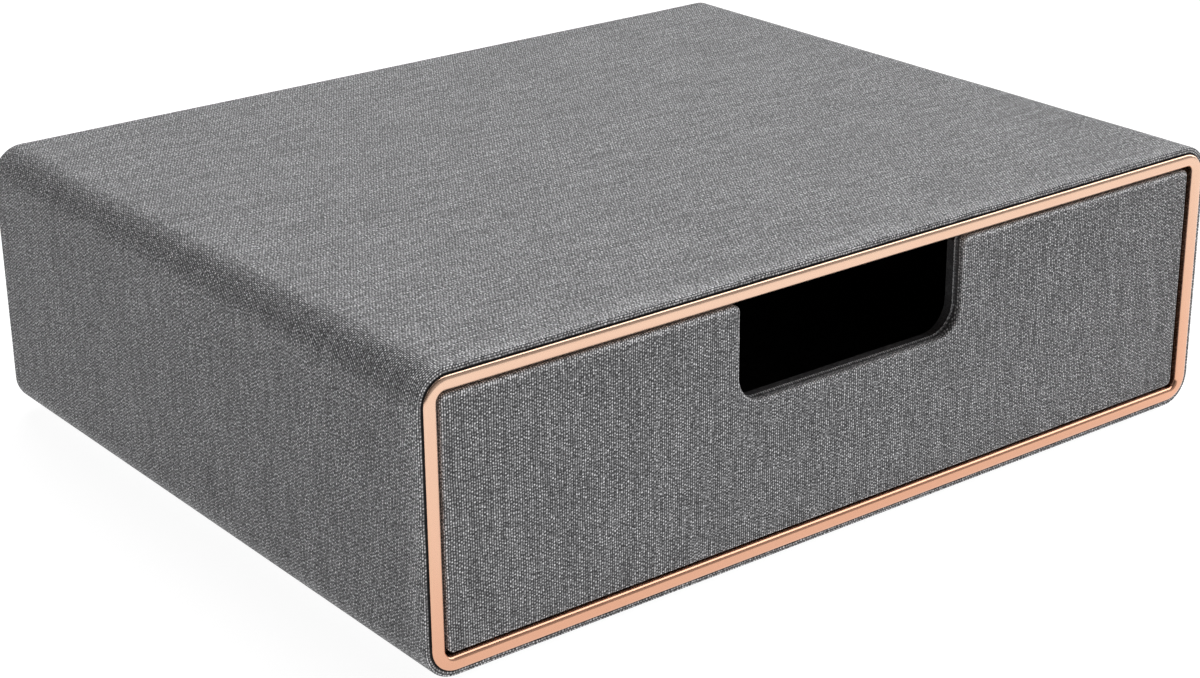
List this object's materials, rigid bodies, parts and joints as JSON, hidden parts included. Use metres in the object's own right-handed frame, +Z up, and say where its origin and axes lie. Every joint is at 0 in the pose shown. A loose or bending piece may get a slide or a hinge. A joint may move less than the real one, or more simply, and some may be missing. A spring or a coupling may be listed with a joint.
{
  "type": "file box with drawer",
  "caption": "Low desktop file box: cloth-wrapped board casing with rounded long edges, a metal trim frame at its mouth and a sliding drawer with a notched cloth-covered front.",
  "frame": {"origin": "centre of the box's footprint, on the surface it stands on", "axes": "+Z up, +X along the width, -Y out of the front, the way the drawer opens"},
  "size_m": [0.34, 0.2712, 0.101],
  "materials": {
    "linen_cloth": "grey melange linen weave on paper backing, matt",
    "rose_gold_metal": "rose gold, satin",
    "black_lining": "black, dead matt",
    "fibreboard": "raw medium-density fibreboard",
    "softwood": "planed softwood strip",
    "grey_card": "uncoated grey card",
    "plated_steel": "zinc plated",
    "pad_rubber": "matt"
  },
  "bodies": {
    "casing": {"back_filler_card": "grey_card", "bay_back_lining": "black_lining", "bay_ceiling_lining": "black_lining", "bay_floor_lining": "black_lining", "bay_left_lining": "black_lining", "bay_right_lining": "black_lining", "bottom_left_corner_post": "softwood", "bottom_right_corner_post": "softwood", "casing_back_board": "fibreboard", "casing_back_brads": "plated_steel", "casing_back_cover": "linen_cloth", "casing_bottom_board": "fibreboard", "casing_left_board": "fibreboard", "casing_right_board": "fibreboard", "casing_top_board": "fibreboard", "casing_wrap": "linen_cloth", "front_left_foot": "pad_rubber", "front_right_foot": "pad_rubber", "front_trim_frame": "rose_gold_metal", "rear_left_foot": "pad_rubber", "rear_right_foot": "pad_rubber", "top_left_corner_post": "softwood", "top_right_corner_post": "softwood"},
    "drawer": {"drawer_box_back_board": "fibreboard", "drawer_box_bottom_board": "fibreboard", "drawer_box_cover": "black_lining", "drawer_box_front_board": "fibreboard", "drawer_box_left_board": "fibreboard", "drawer_box_right_board": "fibreboard", "drawer_floor_lining": "black_lining", "drawer_front_backing_card": "grey_card", "drawer_front_board": "fibreboard", "drawer_front_cover": "linen_cloth", "drawer_front_screws": "plated_steel", "drawer_wall_lining": "black_lining"}
  },
  "joints": [
    {"name": "drawer_slide", "type": "slide", "parent": "casing", "child": "drawer", "axis": [0, -1, 0], "range_m": [0, 0.2]}
  ]
}
